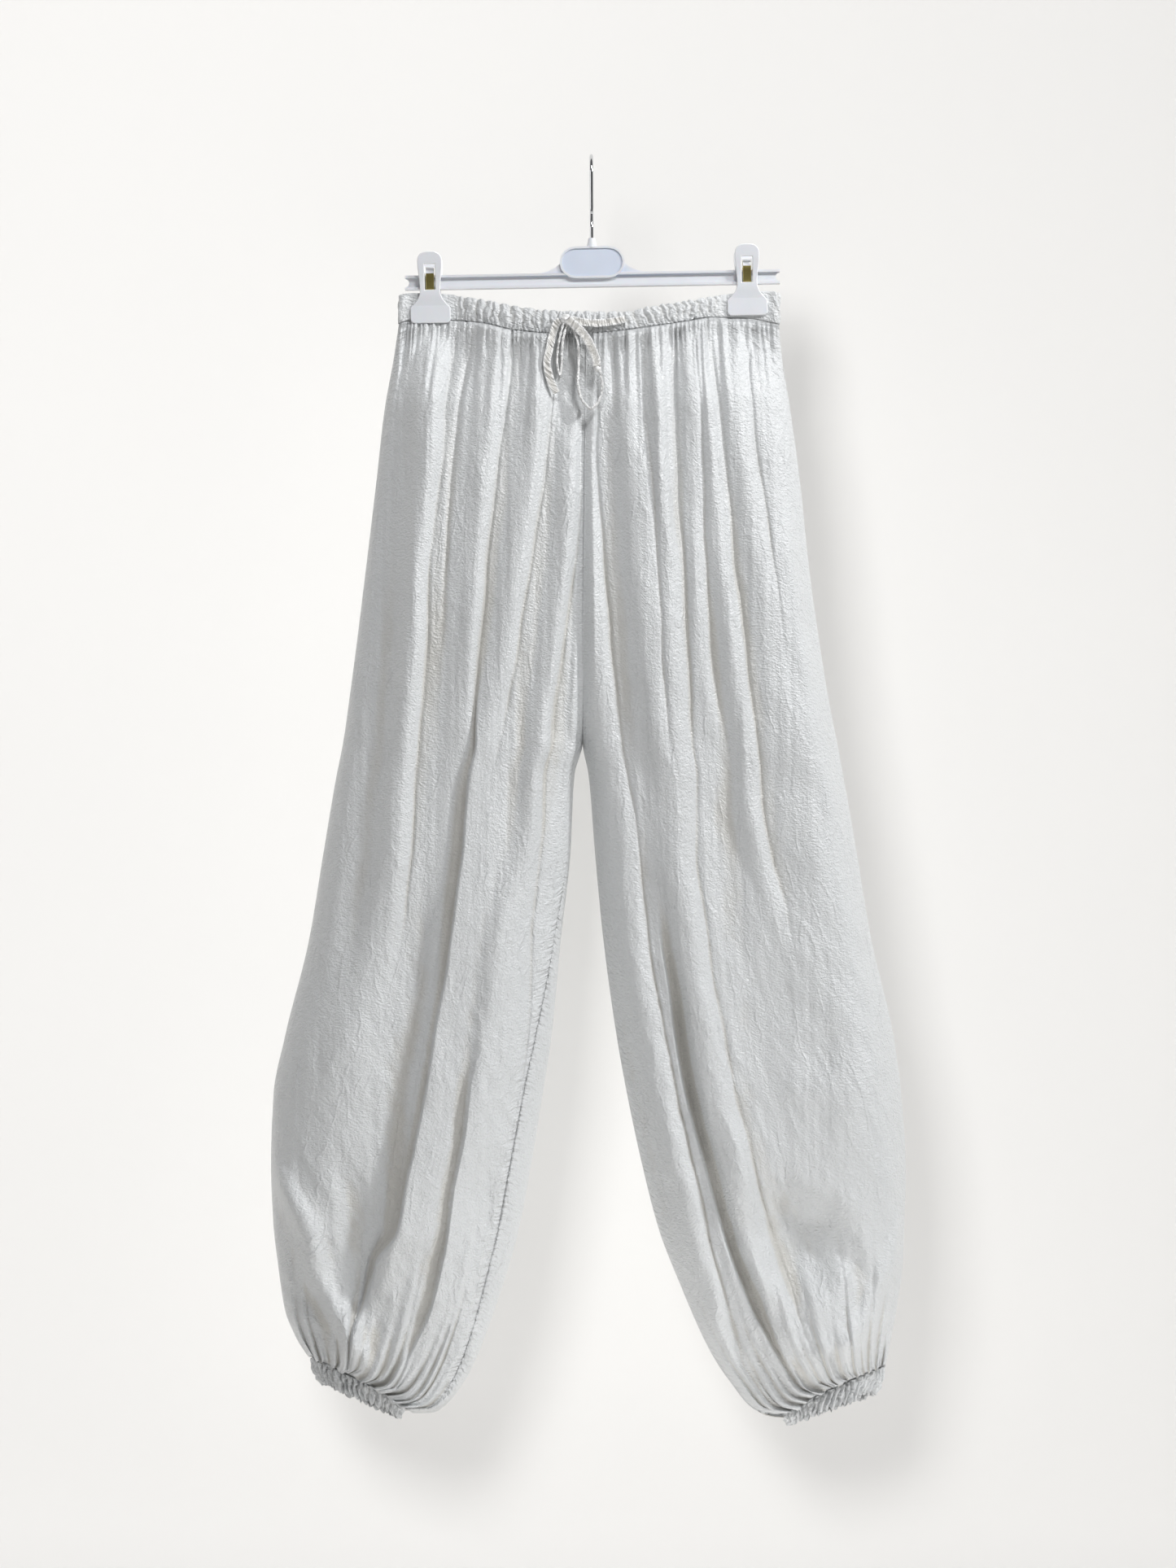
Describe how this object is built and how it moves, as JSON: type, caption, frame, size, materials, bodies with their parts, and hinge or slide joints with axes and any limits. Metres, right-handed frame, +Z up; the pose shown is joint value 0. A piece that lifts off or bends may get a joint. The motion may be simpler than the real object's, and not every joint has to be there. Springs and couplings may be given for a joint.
{
  "type": "balloon pants on a clip hanger",
  "caption": "Loose white drawstring pants with ballooning legs gathered into cuffs, held at the waist by a bar hanger with sliding clips and a wire hook.",
  "frame": {"origin": "inside of the hook's crest, where a rail carries the hanger", "axes": "+X to the right as the front is seen, -Y out of the front, +Z up"},
  "size_m": [0.5837, 0.1127, 1.172],
  "materials": {
    "cloth": "washed satin",
    "string": "washed satin",
    "plastic": "moulded",
    "chrome": "plated",
    "spring": "plated"
  },
  "bodies": {
    "root": {"back_left": "cloth", "back_right": "cloth", "clip_left_back": "plastic", "clip_left_front": "plastic", "clip_left_spring": "spring", "clip_right_back": "plastic", "clip_right_front": "plastic", "clip_right_spring": "spring", "cuff_left": "cloth", "cuff_right": "cloth", "front_left": "cloth", "front_right": "cloth", "hanger_bar": "plastic", "hanger_hook": "chrome", "string_end_left": "string", "string_end_right": "string", "string_knot": "string", "string_lead": "string", "string_loop_left": "string", "string_loop_right": "string", "string_tail_left": "string", "string_tail_right": "string", "string_tip_left": "string", "waistband": "cloth"}
  },
  "joints": []
}
